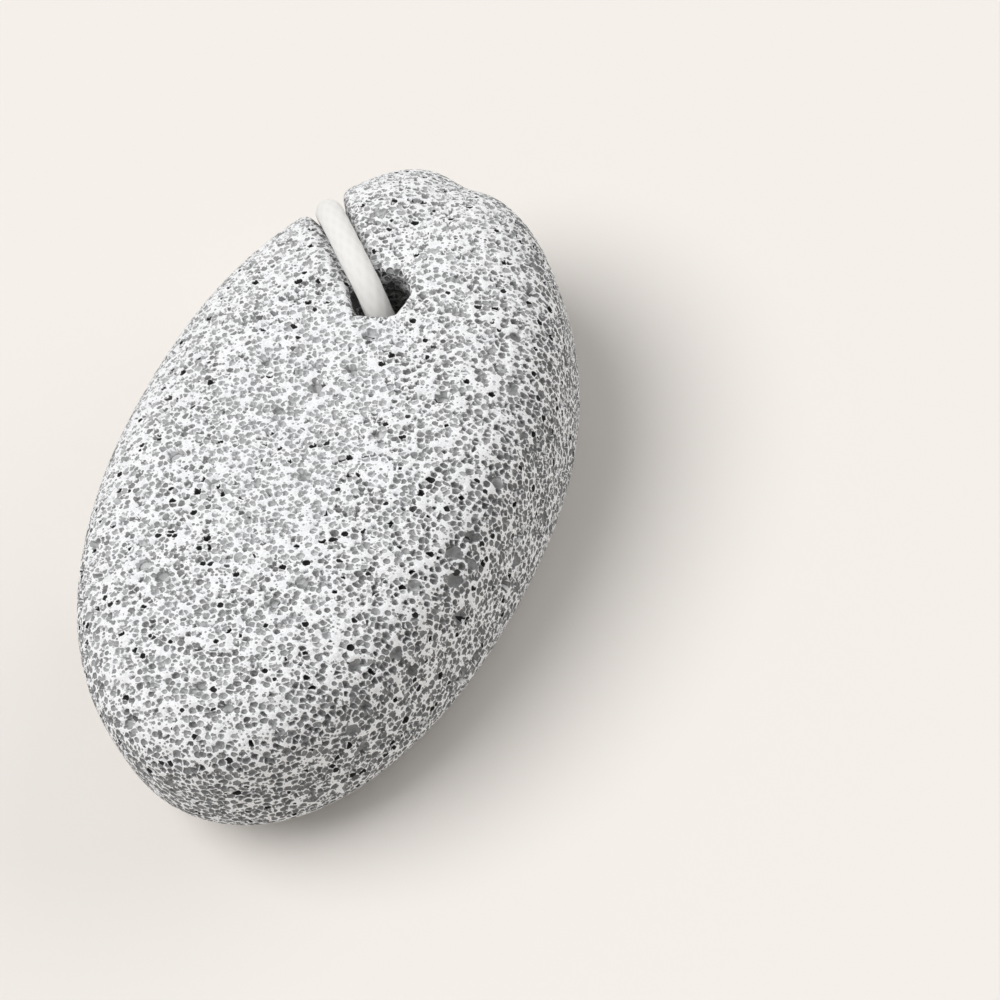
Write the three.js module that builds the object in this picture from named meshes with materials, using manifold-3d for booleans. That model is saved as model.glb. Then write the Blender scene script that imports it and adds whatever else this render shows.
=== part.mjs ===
// A foot pumice stone: an oval pebble of foamed rock that lies on its flat underside, with a cord
// hole near one end, a groove for the cord round the rim beside it, and the cord with its knot.
// Millimetres, +Z up. Origin: on the surface it lies on, under the middle of the stone.
// X is the stone's width, Y its length (the hole is near the +Y end), Z its thickness.

import * as THREE from "three";
import { mergeVertices } from "three/addons/utils/BufferGeometryUtils.js";
import Module from "manifold-3d";

const wasm = await Module();
wasm.setup();

// Pebble
const LENGTH = 96;
const WIDTH = 57;
const THICKNESS = 40;
const UNDERSIDE_CUT = 0.4; // how much of the lowest bulge is worn flat to make the resting face
const PLAN_POWER = 2.15; // 2 is an ellipse, more is squarer
const PROFILE_POWER = 3.6; // flat faces that roll over into the sides
const EGG = 0.035; // how much wider the hole end is than the other
const PEBBLE_SEGMENTS = 80;
const PEBBLE_RINGS = 34;

// Hole through the thickness
const HOLE_X = 0.9;
const HOLE_Y = 22.7;
const HOLE_RADIUS = 4.25;
const HOLE_FLARE = 0.6; // how much wider the mouths are, in a chamfer as deep as it is wide
const HOLE_PAST = 3; // how far the hole's cutter runs past each face
const HOLE_SEGMENTS = 40;

// Groove that holds the cord, from the hole round the rim to the hole's other mouth
const GROOVE_TURN = 49; // degrees from the stone's length, seen from above
const GROOVE_START = new THREE.Vector2(0.08, 21.76); // on the groove's line, beside the hole's axis
const GROOVE_WIDTH = 5;
const GROOVE_INNER = 19.7; // from the start to the groove's floor on the side
const GROOVE_FLOOR_ABOVE = 16.9; // from mid-thickness to the floor on top
const GROOVE_FLOOR_BELOW = 15.0; // from mid-thickness to the floor underneath
const GROOVE_POWER = 3.5;
const GROOVE_STEPS = 44;

// Shallow worn trough from the hole over the end
const TROUGH_RADIUS = 8.4;
const TROUGH_DEPTH = 1.3;
const TROUGH_FROM = 77; // degrees round the stone's long section: 90 is the top, 0 the end
const TROUGH_TO = 18;
const TROUGH_FADE = 3; // how late it grows shallow
const TROUGH_CLEAR = 0.3; // how far the cutter ends up off the stone
const TROUGH_SIDES = 32;
const TROUGH_STEPS = 14;

// Cord and knot
const CORD_DIAMETER = 3.8;
const CORD_SIDES = 8;
const CORD_STEPS = 68;
const KNOT_LENGTH = 12;
const KNOT_RADIUS = 5;
const KNOT_NECK = 4.2; // radius of its end faces
const KNOT_TAPER = 2.6; // length of each end that narrows to the neck
const KNOT_SEGMENTS = 20;
const KNOT_PLACE = new THREE.Vector3(-31.2, -16, 5.05); // middle of the far end face

// From the knot, along the stone's side, under it, up through the hole, over the rim, and back.
const CORD_ROUTE = [
  [-29.1, -3.5, 4.3],
  [-28.9, -0.6, 4.0],
  [-28.6, 2.3, 3.2],
  [-28.3, 5.2, 2.5],
  [-28.1, 9.0, 2.2],
  [-28.4, 17.0, 2.2],
  [-29.1, 25.3, 2.2],
  [-28.7, 29.6, 2.2],
  [-26.6, 33.8, 2.2],
  [-23.0, 36.4, 2.2],
  [-18.9, 36.8, 2.2],
  [-15.4, 35.2, 2.2],
  [-7.8, 28.6, 2.2],
  [-4.3, 25.5, 2.2],
  [-1.5, 23.2, 3.2],
  [0.2, 21.6, 5.4],
  [1.1, 20.9, 8.4],
  [1.1, 20.9, 20.0],
  [1.2, 20.8, 32.5],
  [0.3, 21.5, 35.8],
  [-1.5, 23.2, 38.2],
  [-4.1, 25.4, 39.2],
  [-7.8, 28.6, 38.7],
  [-10.9, 31.3, 37.5],
  [-13.2, 33.3, 35.7],
  [-14.9, 34.7, 33.0],
  [-15.8, 35.6, 29.9],
  [-16.4, 36.1, 25.5],
  [-17.1, 36.7, 20.2],
  [-19.9, 38.7, 15.2],
  [-23.6, 39.1, 11.2],
  [-27.3, 36.8, 8.1],
  [-31.4, 32.9, 5.4],
  [-33.8, 27.0, 3.3],
  [-34.1, 20.0, 2.3],
  [-33.2, 13.0, 2.2],
  [-32.6, 7.0, 2.3],
  [-32.7, 3.0, 3.1],
  [-33.0, -0.6, 4.0],
  [-33.2, -3.5, 4.3],
];

const HALF = new THREE.Vector3(WIDTH / 2, LENGTH / 2, (THICKNESS + UNDERSIDE_CUT) / 2);
const MIDDLE_Z = THICKNESS - HALF.z;
const BEYOND = 30; // how far the other cutters run past the stone
const WELD = 1e-4; // vertices nearer than this are one

const rock = () => new THREE.MeshStandardMaterial({ color: "#cfcdca", roughness: 0.95, metalness: 0 });
const cotton = () => new THREE.MeshStandardMaterial({ color: "#e4dfd6", roughness: 0.85, metalness: 0 });

const signedPower = (value, power) => Math.sign(value) * Math.abs(value) ** power;

function solid(geometry) {
  const bare = geometry.clone();
  bare.deleteAttribute("normal");
  bare.deleteAttribute("uv");
  const merged = mergeVertices(bare, WELD);
  return new wasm.Manifold(
    new wasm.Mesh({
      numProp: 3,
      vertProperties: new Float32Array(merged.attributes.position.array),
      triVerts: new Uint32Array(merged.index.array),
    }),
  );
}

function geometryOf(manifold) {
  const mesh = manifold.getMesh();
  const geometry = new THREE.BufferGeometry();
  geometry.setAttribute("position", new THREE.BufferAttribute(mesh.vertProperties, 3));
  geometry.setIndex(new THREE.BufferAttribute(mesh.triVerts, 1));
  geometry.computeVertexNormals();
  return geometry;
}

// A superellipsoid: a unit sphere whose angles give powered coordinates, one end a little wider.
function pebble() {
  const geometry = new THREE.SphereGeometry(1, PEBBLE_SEGMENTS, PEBBLE_RINGS);
  geometry.rotateX(Math.PI / 2);
  const place = geometry.attributes.position;
  for (let i = 0; i < place.count; i += 1) {
    const turn = Math.atan2(place.getY(i), place.getX(i));
    const tilt = Math.asin(THREE.MathUtils.clamp(place.getZ(i), -1, 1));
    const reach = Math.max(Math.cos(tilt), 0) ** (2 / PROFILE_POWER);
    const alongLength = signedPower(Math.sin(turn), 2 / PLAN_POWER) * reach;
    const acrossWidth = signedPower(Math.cos(turn), 2 / PLAN_POWER) * reach;
    place.setXYZ(
      i,
      HALF.x * acrossWidth * (1 + EGG * alongLength),
      HALF.y * alongLength,
      MIDDLE_Z + HALF.z * signedPower(Math.sin(tilt), 2 / PROFILE_POWER),
    );
  }
  return solid(geometry);
}

// Everything under the surface that the stone lies on.
function below() {
  return solid(new THREE.BoxGeometry(2 * WIDTH, 2 * LENGTH, BEYOND).translate(0, 0, -BEYOND / 2));
}

// A round bar through both faces that widens by the flare at each face, and goes on widening past it.
function holeCutter() {
  const widest = HOLE_RADIUS + HOLE_FLARE + HOLE_PAST;
  const profile = [
    new THREE.Vector2(0, -HOLE_PAST),
    new THREE.Vector2(widest, -HOLE_PAST),
    new THREE.Vector2(HOLE_RADIUS, HOLE_FLARE),
    new THREE.Vector2(HOLE_RADIUS, THICKNESS - HOLE_FLARE),
    new THREE.Vector2(widest, THICKNESS + HOLE_PAST),
    new THREE.Vector2(0, THICKNESS + HOLE_PAST),
  ];
  return solid(new THREE.LatheGeometry(profile, HOLE_SEGMENTS).rotateX(Math.PI / 2).translate(HOLE_X, HOLE_Y, 0));
}

// A plate as wide as the groove, on the groove's upright plane, outside the curve of its floor.
function grooveCutter() {
  const outline = [];
  for (let i = 0; i <= GROOVE_STEPS; i += 1) {
    const turn = Math.PI / 2 - (Math.PI * i) / GROOVE_STEPS;
    const rise = turn > 0 ? GROOVE_FLOOR_ABOVE : GROOVE_FLOOR_BELOW;
    outline.push(
      new THREE.Vector2(
        GROOVE_INNER * Math.max(Math.cos(turn), 0) ** (2 / GROOVE_POWER),
        MIDDLE_Z + rise * signedPower(Math.sin(turn), 2 / GROOVE_POWER),
      ),
    );
  }
  outline.push(new THREE.Vector2(0, -BEYOND));
  outline.push(new THREE.Vector2(LENGTH, -BEYOND));
  outline.push(new THREE.Vector2(LENGTH, THICKNESS + BEYOND));
  outline.push(new THREE.Vector2(0, THICKNESS + BEYOND));
  const plate = new THREE.ExtrudeGeometry(new THREE.Shape(outline), {
    depth: GROOVE_WIDTH,
    bevelEnabled: false,
  });
  plate.translate(0, 0, -GROOVE_WIDTH / 2);
  const turn = THREE.MathUtils.degToRad(GROOVE_TURN);
  const outward = new THREE.Vector3(-Math.sin(turn), Math.cos(turn), 0);
  const up = new THREE.Vector3(0, 0, 1);
  const across = new THREE.Vector3().crossVectors(outward, up);
  const place = new THREE.Matrix4().makeBasis(outward, up, across);
  place.setPosition(GROOVE_START.x, GROOVE_START.y, 0);
  return solid(plate.applyMatrix4(place));
}

// A round bar that follows the crown from the hole to the end, sunk in by the trough's depth, and
// lifted clear of the stone by the time it is part of the way down the end.
function troughCutter() {
  const path = [];
  for (let i = 0; i <= TROUGH_STEPS; i += 1) {
    const share = i / TROUGH_STEPS;
    const turn = THREE.MathUtils.degToRad(THREE.MathUtils.lerp(TROUGH_FROM, TROUGH_TO, share));
    const y = Math.cos(turn) ** (2 / PROFILE_POWER);
    const z = Math.sin(turn) ** (2 / PROFILE_POWER);
    const slopeY = y ** (PROFILE_POWER - 1) / HALF.y;
    const slopeZ = z ** (PROFILE_POWER - 1) / HALF.z;
    const outward = new THREE.Vector3(0, slopeY, slopeZ).normalize();
    const depth = TROUGH_DEPTH * (1 - share ** TROUGH_FADE) - share * TROUGH_CLEAR;
    const surface = new THREE.Vector3(0, HALF.y * y, MIDDLE_Z + HALF.z * z);
    path.push(surface.addScaledVector(outward, TROUGH_RADIUS - depth));
  }
  const section = new THREE.Shape();
  section.absarc(0, 0, TROUGH_RADIUS, 0, 2 * Math.PI);
  return solid(
    new THREE.ExtrudeGeometry(section, {
      steps: TROUGH_STEPS,
      curveSegments: TROUGH_SIDES / 2,
      bevelEnabled: false,
      extrudePath: new THREE.CatmullRomCurve3(path),
    }),
  );
}

function stone() {
  const shape = pebble()
    .subtract(below())
    .subtract(holeCutter())
    .subtract(grooveCutter())
    .subtract(troughCutter());
  return geometryOf(shape);
}

function cord() {
  const section = new THREE.Shape();
  section.absarc(0, 0, CORD_DIAMETER / 2, 0, 2 * Math.PI);
  const points = CORD_ROUTE.map((point) => new THREE.Vector3(...point));
  return new THREE.ExtrudeGeometry(section, {
    steps: CORD_STEPS,
    curveSegments: CORD_SIDES / 2,
    bevelEnabled: false,
    extrudePath: new THREE.CatmullRomCurve3(points, false, "centripetal"),
  });
}

// The drawn-up knot with its two ends, as the barrel that they fill.
function knot() {
  const profile = [
    new THREE.Vector2(0, 0),
    new THREE.Vector2(KNOT_NECK, 0),
    new THREE.Vector2(KNOT_RADIUS, KNOT_TAPER),
    new THREE.Vector2(KNOT_RADIUS, KNOT_LENGTH - KNOT_TAPER),
    new THREE.Vector2(KNOT_NECK, KNOT_LENGTH),
    new THREE.Vector2(0, KNOT_LENGTH),
  ];
  return new THREE.LatheGeometry(profile, KNOT_SEGMENTS);
}

function named(name, geometry, material) {
  const mesh = new THREE.Mesh(geometry, material);
  mesh.name = name;
  return mesh;
}

const knotMesh = named("cord_knot", knot(), cotton());
knotMesh.position.copy(KNOT_PLACE);

const pumiceStone = new THREE.Group();
pumiceStone.add(named("stone", stone(), rock()));
pumiceStone.add(named("cord", cord(), cotton()));
pumiceStone.add(knotMesh);

export default pumiceStone;
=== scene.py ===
"""A foot pumice stone: foamed rock full of small bubbles, with a cotton cord through its hole.

Metres, +Z up. X is the stone's width, Y its length with the hole near +Y, Z its thickness.
"""
from math import cos, pi, radians, sin

import bpy
import numpy as np
from mathutils import Matrix, Vector


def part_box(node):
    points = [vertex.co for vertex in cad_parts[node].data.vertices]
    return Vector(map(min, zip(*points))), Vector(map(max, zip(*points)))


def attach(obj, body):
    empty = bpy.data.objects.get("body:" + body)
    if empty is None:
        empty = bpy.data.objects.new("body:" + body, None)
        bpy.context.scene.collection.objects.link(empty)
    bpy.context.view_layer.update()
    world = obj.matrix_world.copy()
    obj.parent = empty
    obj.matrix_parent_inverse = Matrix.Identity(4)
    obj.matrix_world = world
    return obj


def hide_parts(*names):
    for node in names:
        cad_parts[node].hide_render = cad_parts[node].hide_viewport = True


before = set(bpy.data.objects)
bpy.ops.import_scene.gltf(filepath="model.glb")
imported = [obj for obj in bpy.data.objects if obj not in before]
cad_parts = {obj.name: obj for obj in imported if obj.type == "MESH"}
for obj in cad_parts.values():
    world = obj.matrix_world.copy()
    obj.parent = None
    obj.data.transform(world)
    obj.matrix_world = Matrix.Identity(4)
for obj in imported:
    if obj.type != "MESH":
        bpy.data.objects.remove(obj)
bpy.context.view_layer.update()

bl_info = {
    "name": "Pumice Stone",
    "version": (1, 0, 0),
    "blender": (4, 5, 0),
    "location": "View3D > Sidebar > Pumice",
    "description": "Builds a foot pumice stone with its hanging cord",
    "category": "Add Mesh",
}

MM = 0.001
LOW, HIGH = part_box("stone")
KNOT_LOW, KNOT_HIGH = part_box("cord_knot")

# The pebble: a superellipsoid worn flat underneath
UNDERSIDE_CUT = 0.4 * MM
PLAN_POWER = 2.15
PROFILE_POWER = 3.6
EGG = 0.035
HALF = np.array([28.5 * MM, (HIGH.y - LOW.y) / 2, (HIGH.z - LOW.z + UNDERSIDE_CUT) / 2])
MIDDLE_Z = HIGH.z - HALF[2]

# The hole, the groove and the worn trough
HOLE = np.array([0.9, 22.7]) * MM
HOLE_RADIUS = 4.25 * MM
GROOVE_TURN = radians(49)
GROOVE_START = np.array([0.08, 21.76]) * MM
GROOVE_WIDTH = 5 * MM
GROOVE_INNER = 19.7 * MM
GROOVE_FLOOR_ABOVE = 16.9 * MM
GROOVE_FLOOR_BELOW = 15.0 * MM
GROOVE_POWER = 3.5
GROOVE_MOUTH_BLEND = 1.9 * MM
TROUGH_DEPTH = 1.1 * MM
TROUGH_WIDTH = 3.6 * MM
WAVE = 0.15 * MM
BORE_WAVE = 0.2 * MM
EDGE_BLEND = 1.0 * MM

# Places where the outline is fuller (+) or flatter (-) than the plain pebble:
# direction from the middle seen from above, how wide in degrees, and how much
OUTLINE_LUMPS = [
    (134, 25, -1.2 * MM),
    (106, 17, 1.5 * MM),
    (50, 22, -0.8 * MM),
    (205, 30, 0.5 * MM),
    (268, 16, 0.3 * MM),
]

# The foam: its bubbles are drawn out upward and along a level line, turned so far from X
FLOW_TURN = radians(25)
FLOW_STRETCH = 1.32
RISE_STRETCH = 1.6
CELL_JITTER = 0.95
UNRUBBED_WIDER = 0.09 * MM
RAGGED = 0.12 * MM
RAGGED_SIZE = 0.22 * MM
RIM_SOFT = 0.04 * MM
BOWL_DEPTH = 0.22 * MM
DIMPLE_DEPTH = 0.12 * MM
GRAIN_HEIGHT = 0.14 * MM

# Mesh fineness
VOXEL = 0.6 * MM
HALVINGS = 2
STONE_TRIANGLES = 195000

# The flat map: its side, how level a face is that lies in the top's or the underside's part,
# how many steps go twice round the rim, and where along the rim its second strip ends
MAP_SIDE = 143 * MM
MAP_LEVEL = 0.6
MAP_BENDS = 1440
MAP_SPLIT = 14 * MM

# The cord's route, the same as its solid's
CORD_DIAMETER = 3.8 * MM
PLAIT_STRANDS = 8
PLAIT_PITCH = 3 * MM
PLAIT_SWELL = 0.006
CORD_STEP = 0.3 * MM
CORD_SIDES = 40
DOME_LENGTH = 0.6
KNOT_STRAND = 0.92
KNOT_TURNS = 2.2
KNOT_WRAP_RADIUS = 3.2 * MM
KNOT_END = 2.3 * MM
CORD_ROUTE = np.array([
    (-29.1, -3.5, 4.3), (-28.9, -0.6, 4.0), (-28.6, 2.3, 3.2), (-28.3, 5.2, 2.5),
    (-28.1, 9.0, 2.2), (-28.4, 17.0, 2.2), (-29.1, 25.3, 2.2), (-28.7, 29.6, 2.2),
    (-26.6, 33.8, 2.2), (-23.0, 36.4, 2.2), (-18.9, 36.8, 2.2), (-15.4, 35.2, 2.2),
    (-7.8, 28.6, 2.2), (-4.3, 25.5, 2.2), (-1.5, 23.2, 3.2), (0.2, 21.6, 5.4),
    (1.1, 20.9, 8.4), (1.1, 20.9, 20.0), (1.2, 20.8, 32.5), (0.3, 21.5, 35.8),
    (-1.5, 23.2, 38.2), (-4.1, 25.4, 39.2), (-7.8, 28.6, 38.7), (-10.9, 31.3, 37.5),
    (-13.2, 33.3, 35.7), (-14.9, 34.7, 33.0), (-15.8, 35.6, 29.9), (-16.4, 36.1, 25.5),
    (-17.1, 36.7, 20.2), (-19.9, 38.7, 15.2), (-23.6, 39.1, 11.2), (-27.3, 36.8, 8.1),
    (-31.4, 32.9, 5.4), (-33.8, 27.0, 3.3), (-34.1, 20.0, 2.3), (-33.2, 13.0, 2.2),
    (-32.6, 7.0, 2.3), (-32.7, 3.0, 3.1), (-33.0, -0.6, 4.0), (-33.2, -3.5, 4.3),
]) * MM

# The view
VIEW_AZIMUTH = radians(45.6)
VIEW_ELEVATION = radians(60.0)
VIEW_ROLL = radians(22.7)
VIEW_DISTANCE = 0.52
VIEW_LENS = 135.0
STONE_LEFT_OF_VIEW = 23.0 * MM
STONE_ABOVE_VIEW = 0.7 * MM

# The stage
FLOOR_HALF = 3.0
KEY_FROM = Vector((-0.36, -0.22, 0.9))
KEY_ANGLE = radians(42)
SIDE_FROM = Vector((0.5, 0.7, 0.45))
SIDE_ANGLE = radians(60)


# ---------------------------------------------------------------- helpers


def unit(vectors):
    """Each row divided by its own length."""
    return vectors / np.maximum(np.linalg.norm(vectors, axis=-1, keepdims=True), 1e-12)


def smooth_max(a, b, blend):
    """The larger of two fields, with the crease between them rounded over the given width."""
    share = np.clip(0.5 + 0.5 * (a - b) / blend, 0, 1)
    return b + (a - b) * share + blend * share * (1 - share)


def smooth_step(low, high, value):
    """0 below low, 1 above high, and a smooth S between."""
    t = np.clip((value - low) / (high - low), 0, 1)
    return t * t * (3 - 2 * t)


def link_object(name, mesh, material):
    """Puts a finished mesh in the scene as a piece that rides with the stone."""
    piece = bpy.data.objects.new(name, mesh)
    bpy.context.scene.collection.objects.link(piece)
    mesh.materials.append(material)
    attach(piece, "root")
    return piece


def mesh_from(name, points, faces, smooth=True):
    """A mesh from an array of points and an array of faces that all have as many corners."""
    mesh = bpy.data.meshes.new(name)
    corners = faces.shape[1]
    mesh.vertices.add(len(points))
    mesh.vertices.foreach_set("co", points.astype(np.float32).ravel())
    mesh.loops.add(faces.size)
    mesh.loops.foreach_set("vertex_index", faces.astype(np.int32).ravel())
    mesh.polygons.add(len(faces))
    mesh.polygons.foreach_set("loop_start", np.arange(0, faces.size, corners, dtype=np.int32))
    mesh.polygons.foreach_set("use_smooth", np.full(len(faces), smooth))
    mesh.update(calc_edges=True)
    mesh.validate()
    return mesh


# ---------------------------------------------------------------- the stone's shape


def superellipse(a, b, power):
    """((a^n + b^n)^(1/n) - 1) for two coordinates already divided by their half widths."""
    return (np.abs(a) ** power + np.abs(b) ** power) ** (1 / power) - 1


def pebble_field(p):
    """Distance outside a superellipsoid: (plan^(q/p) + (z/c)^q)^(1/q) - 1, over its own slope."""
    x, y, z = p.T
    wide = HALF[0] * (1 + EGG * y / HALF[1])
    turn = np.degrees(np.arctan2(y / HALF[1], x / HALF[0]))
    lump = np.zeros_like(x)
    for centre, spread, amount in OUTLINE_LUMPS:
        off = (turn - centre + 180) % 360 - 180
        lump += amount * np.exp(-(off / spread) ** 2)
    a, b = np.abs(x / wide) + 1e-9, np.abs(y / HALF[1]) + 1e-9
    c = np.abs((z - MIDDLE_Z) / HALF[2]) + 1e-9
    plan = a**PLAN_POWER + b**PLAN_POWER
    whole = plan ** (PROFILE_POWER / PLAN_POWER) + c**PROFILE_POWER
    reach = whole ** (1 / PROFILE_POWER)
    outer = reach / whole
    inner = outer * plan ** (PROFILE_POWER / PLAN_POWER - 1)
    slope = np.stack([
        inner * a ** (PLAN_POWER - 1) / wide,
        inner * b ** (PLAN_POWER - 1) / HALF[1],
        outer * c ** (PROFILE_POWER - 1) / HALF[2],
    ])
    steep = np.linalg.norm(slope, axis=0)
    return (reach - 1) / steep - lump * (slope[0] ** 2 + slope[1] ** 2) / steep**2


def groove_field(p):
    """Negative inside the groove: a slot about its upright plane, outside a superellipse floor."""
    x, y, z = p.T
    along = (x - GROOVE_START[0]) * -sin(GROOVE_TURN) + (y - GROOVE_START[1]) * cos(GROOVE_TURN)
    across = (x - GROOVE_START[0]) * cos(GROOVE_TURN) + (y - GROOVE_START[1]) * sin(GROOVE_TURN)
    rise = z - MIDDLE_Z
    floor = np.where(rise > 0, GROOVE_FLOOR_ABOVE, GROOVE_FLOOR_BELOW)
    above_floor = superellipse(np.maximum(along, 0) / GROOVE_INNER, rise / floor, GROOVE_POWER) * 0.8 * floor
    slot = smooth_max(np.abs(across) - GROOVE_WIDTH / 2, -above_floor, 2.6 * MM)
    return np.maximum(slot, -along - 1 * MM)


def stone_field(p):
    """Distance outside the stone without its bubbles: the pebble, less what is cut from it."""
    x, y, z = p.T
    field = pebble_field(p)
    wave = np.sin(x * 190 + 1.0 + 1.3 * np.sin(z * 90)) * np.sin(y * 130 + 0.6) * np.sin(z * 150 + 2.0)
    field = field + WAVE * wave
    trough = np.exp(-(x / TROUGH_WIDTH) ** 2) * smooth_step(20 * MM, 24 * MM, y)
    field = field + TROUGH_DEPTH * trough * smooth_step(16 * MM, 34 * MM, z)
    field = smooth_max(field, -z, EDGE_BLEND)
    turn = np.arctan2(y - HOLE[1], x - HOLE[0])
    bore = HOLE_RADIUS - BORE_WAVE + BORE_WAVE * np.sin(5 * turn + 2 * np.sin(z * 900))
    field = smooth_max(field, bore - np.hypot(x - HOLE[0], y - HOLE[1]), EDGE_BLEND)
    return smooth_max(field, -groove_field(p), GROOVE_MOUTH_BLEND)


def slope_of(field, p, step=0.03 * MM):
    """The field's unit slope at each point, from differences across a small step."""
    slope = np.empty_like(p)
    for axis in range(3):
        shift = np.zeros(3)
        shift[axis] = step
        slope[:, axis] = field(p + shift) - field(p - shift)
    return slope / (2 * step)


def settle(field, p, rounds=2):
    """Moves each point along the field's slope to where the field is nought."""
    for _ in range(rounds):
        slope = slope_of(field, p)
        p = p - field(p)[:, None] * slope / np.maximum((slope**2).sum(1), 0.04)[:, None]
    return p


def surface_net(field, low, high, step):
    """Quads round a field's zero surface: one point in each grid cell that the surface crosses,
    at the mean of its edges' crossings, and one quad for each crossed edge, joining the four
    cells round it."""
    axes = [np.arange(a, b + step, step) for a, b in zip(low, high)]
    grid = np.stack(np.meshgrid(*axes, indexing="ij"), -1)
    size = np.array(grid.shape[:3])
    value = field(grid.reshape(-1, 3)).reshape(size)
    inside = value < 0
    count = np.zeros(size.prod())
    total = np.zeros((size.prod(), 3))
    rings = []
    for axis in range(3):
        one, two = np.roll(np.arange(3), -axis)[1:]
        near = [slice(None)] * 3
        far = [slice(None)] * 3
        near[axis], far[axis] = slice(0, -1), slice(1, None)
        start = np.argwhere(inside[tuple(near)] != inside[tuple(far)])
        end = start.copy()
        end[:, axis] += 1
        before, after = value[tuple(start.T)], value[tuple(end.T)]
        point = grid[tuple(start.T)].copy()
        point[:, axis] += before / (before - after) * step
        ring = np.repeat(start[:, None, :], 4, axis=1)
        ring[:, 1:3, one] -= 1
        ring[:, 2:4, two] -= 1
        cell = np.ravel_multi_index(tuple(np.moveaxis(ring, -1, 0)), tuple(size))
        for corner in range(4):
            count += np.bincount(cell[:, corner], minlength=len(count))
            for k in range(3):
                total[:, k] += np.bincount(cell[:, corner], point[:, k], minlength=len(count))
        leaving = inside[tuple(start.T)]
        rings.append(np.where(leaving[:, None], cell[:, [0, 1, 2, 3]], cell[:, [3, 2, 1, 0]]))
    used = count > 0
    number = np.cumsum(used) - 1
    return total[used] / count[used, None], number[np.concatenate(rings)]


def halve(points, quads):
    """Splits each quad in four, through the middles of its edges and its own middle."""
    ends = np.sort(np.stack([quads, np.roll(quads, -1, axis=1)], -1).reshape(-1, 2), axis=1)
    key, back = np.unique(ends[:, 0] * len(points) + ends[:, 1], return_inverse=True)
    middle = (points[key // len(points)] + points[key % len(points)]) / 2
    edge = back.reshape(-1, 4) + len(points)
    centre = np.arange(len(quads)) + len(points) + len(middle)
    new = [np.stack([quads[:, c], edge[:, c], centre, edge[:, c - 1]], -1) for c in range(4)]
    return np.concatenate([points, middle, points[quads].mean(1)]), np.concatenate(new)


# ---------------------------------------------------------------- the bubbles


def turn_bits(value, by):
    """Each 32-bit number turned left by so many bits."""
    return (value << np.uint32(by)) | (value >> np.uint32(32 - by))


def cell_noise(cells):
    """Three numbers from 0 to 1 for each whole-numbered cell, the ones that Blender's Voronoi
    texture gives it: Jenkins' mixing of the bits of the cell's coordinates."""
    x, y, z = (cells[..., k].astype(np.float32).view(np.uint32) for k in range(3))
    first = np.uint32((0xDEADBEEF + (3 << 2) + 13) & 0xFFFFFFFF)
    others = np.uint32((0xDEADBEEF + (4 << 2) + 13) & 0xFFFFFFFF)

    def last_mix(a, b, c):
        c = (c ^ b) - turn_bits(b, 14)
        a = (a ^ c) - turn_bits(c, 11)
        b = (b ^ a) - turn_bits(a, 25)
        c = (c ^ b) - turn_bits(b, 16)
        a = (a ^ c) - turn_bits(c, 4)
        b = (b ^ a) - turn_bits(a, 14)
        return (c ^ b) - turn_bits(b, 24)

    def first_mix(a, b, c):
        for by in (4, 6, 8, 16, 19, 4):
            a = (a - c) ^ turn_bits(c, by)
            c = c + b
            a, b, c = b, c, a
        return a, b, c

    found = [last_mix(x + first, y + first, z + first)]
    for extra in (1.0, 2.0):
        a, b, c = first_mix(x + others, y + others, z + others)
        found.append(last_mix(a + np.float32(extra).view(np.uint32), b, c))
    return np.stack(found, -1).astype(np.float32) / np.float32(0xFFFFFFFF)


def cells_round(p, jitter):
    """For each point, in cells: the vector to its nearest bubble centre, that cell's three noise
    numbers, and the distance to the wall between it and the nearest other cell."""
    low = np.floor(p.min(0)).astype(int) - 1
    size = np.floor(p.max(0)).astype(int) + 2 - low
    box = np.stack(np.meshgrid(*[np.arange(n) for n in size], indexing="ij"), -1) + low
    noise = cell_noise(box).reshape(-1, 3)
    centre = (noise * jitter + box.reshape(-1, 3)).astype(np.float32)
    home = np.floor(p).astype(int) - low
    p = p.astype(np.float32)
    shifts = [(i, j, k) for k in (-1, 0, 1) for j in (-1, 0, 1) for i in (-1, 0, 1)]
    nearest = np.full(len(p), 9.0, np.float32)
    chosen = np.zeros(len(p), int)
    for shift in shifts:
        cell = np.ravel_multi_index(tuple((home + shift).T), tuple(size))
        away = np.linalg.norm(centre[cell] - p, axis=1)
        closer = away < nearest
        nearest[closer] = away[closer]
        chosen[closer] = cell[closer]
    to_centre = centre[chosen] - p
    wall = np.full(len(p), 9.0, np.float32)
    for shift in shifts:
        cell = np.ravel_multi_index(tuple((home + shift).T), tuple(size))
        other = centre[cell] - p
        apart = other - to_centre
        length = np.linalg.norm(apart, axis=1)
        gap = ((to_centre + other) * apart).sum(1) / 2 / np.maximum(length, 1e-6)
        wall = np.where(length > 0.01, np.minimum(wall, gap), wall)
    return to_centre, noise[chosen], wall


def along_flow(vectors):
    """Turned so that the first coordinate lies along the flow, and squeezed by its stretch."""
    x, y, z = vectors.T
    along = (x * cos(FLOW_TURN) + y * sin(FLOW_TURN)) / FLOW_STRETCH
    return np.stack([along, y * cos(FLOW_TURN) - x * sin(FLOW_TURN), z / RISE_STRETCH], -1)


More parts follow.
